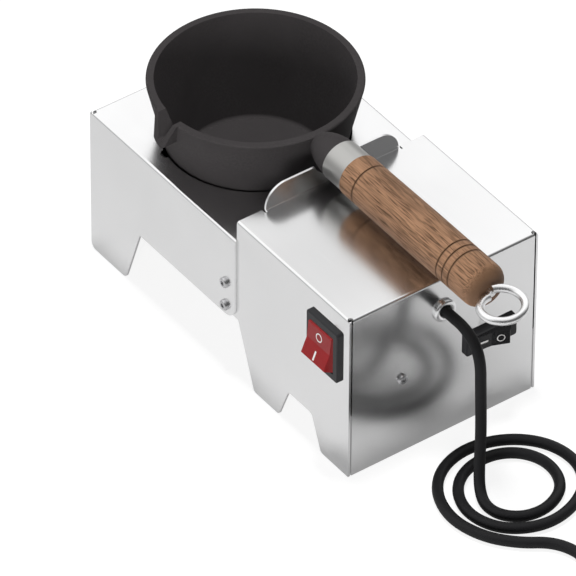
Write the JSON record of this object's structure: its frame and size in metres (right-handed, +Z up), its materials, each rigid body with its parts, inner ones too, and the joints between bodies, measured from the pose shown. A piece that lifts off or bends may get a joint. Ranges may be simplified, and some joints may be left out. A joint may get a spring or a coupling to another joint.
{
  "type": "electric melting pot",
  "caption": "Bench-top electric pot for melting metal: a cast pot with a wooden handle stands in a folded steel housing with rocker switches and a mains cord.",
  "frame": {"origin": "bottom centre of the object without its cord, on the table", "axes": "+X from the hotplate's end towards the handle's end and the cord, +Y away from the red switch and the pouring spout, +Z up"},
  "size_m": [0.4223, 0.1996, 0.1286],
  "materials": {
    "stainless_sheet": "bright satin",
    "cast_iron": "dark matte casting",
    "handle_wood": "oiled walnut",
    "bright_metal": "polished",
    "zinc_steel": "zinc plated",
    "inner_steel": "plain",
    "ceramic_fibre": "dull",
    "porcelain": "glazed",
    "brass_parts": "plain",
    "switch_black": "fine satin",
    "rocker_red": "translucent red",
    "rocker_black": "glossy",
    "cord_rubber": "matte",
    "wire_insulation": "plain",
    "tie_plastic": "plain"
  },
  "bodies": {
    "base": {"hotplate_housing": "stainless_sheet", "control_housing": "stainless_sheet", "heat_shield": "inner_steel", "base_cover": "inner_steel", "base_screws": "zinc_steel", "base_spacers": "zinc_steel", "base_nuts": "zinc_steel", "heater_can": "inner_steel", "insulation_pad": "ceramic_fibre", "heating_element": "inner_steel", "heating_plate": "cast_iron", "melting_pot": "cast_iron", "handle_tang": "zinc_steel", "handle_ferrule": "bright_metal", "handle_grip": "handle_wood", "eye_ring": "bright_metal", "thermostat_screws": "zinc_steel", "thermostat_nuts": "zinc_steel", "thermostat_stack": "porcelain", "thermostat_blades": "brass_parts", "side_screws": "zinc_steel", "side_nuts": "zinc_steel", "earth_screw": "zinc_steel", "earth_nut": "zinc_steel", "terminal_block": "porcelain", "terminal_inserts": "brass_parts", "block_screws": "zinc_steel", "block_nuts": "zinc_steel", "cord_bushing": "bright_metal", "bushing_nut": "zinc_steel", "red_switch_body": "switch_black", "red_switch_terminals": "brass_parts", "black_switch_body": "switch_black", "black_switch_terminals": "brass_parts", "heater_wires": "wire_insulation", "switch_wires": "wire_insulation", "mains_wires": "wire_insulation", "cord_lead": "cord_rubber", "cord_tail": "cord_rubber", "cord_coil": "cord_rubber", "cord_tie": "tie_plastic", "plug_body": "cord_rubber", "plug_pins": "brass_parts"},
    "red_rocker": {"red_switch_rocker": "rocker_red"},
    "black_rocker": {"black_switch_rocker": "rocker_black"}
  },
  "joints": [
    {"name": "red_rocker_hinge", "type": "hinge", "parent": "base", "child": "red_rocker", "pos_m": [0.05946, -0.05306, 0.0746], "axis": [1, 0, 0], "range_deg": [0, 28]},
    {"name": "black_rocker_hinge", "type": "hinge", "parent": "base", "child": "black_rocker", "pos_m": [0.07576, 0.03014, 0.05155], "axis": [0, 0, 1], "range_deg": [0, 28]}
  ]
}
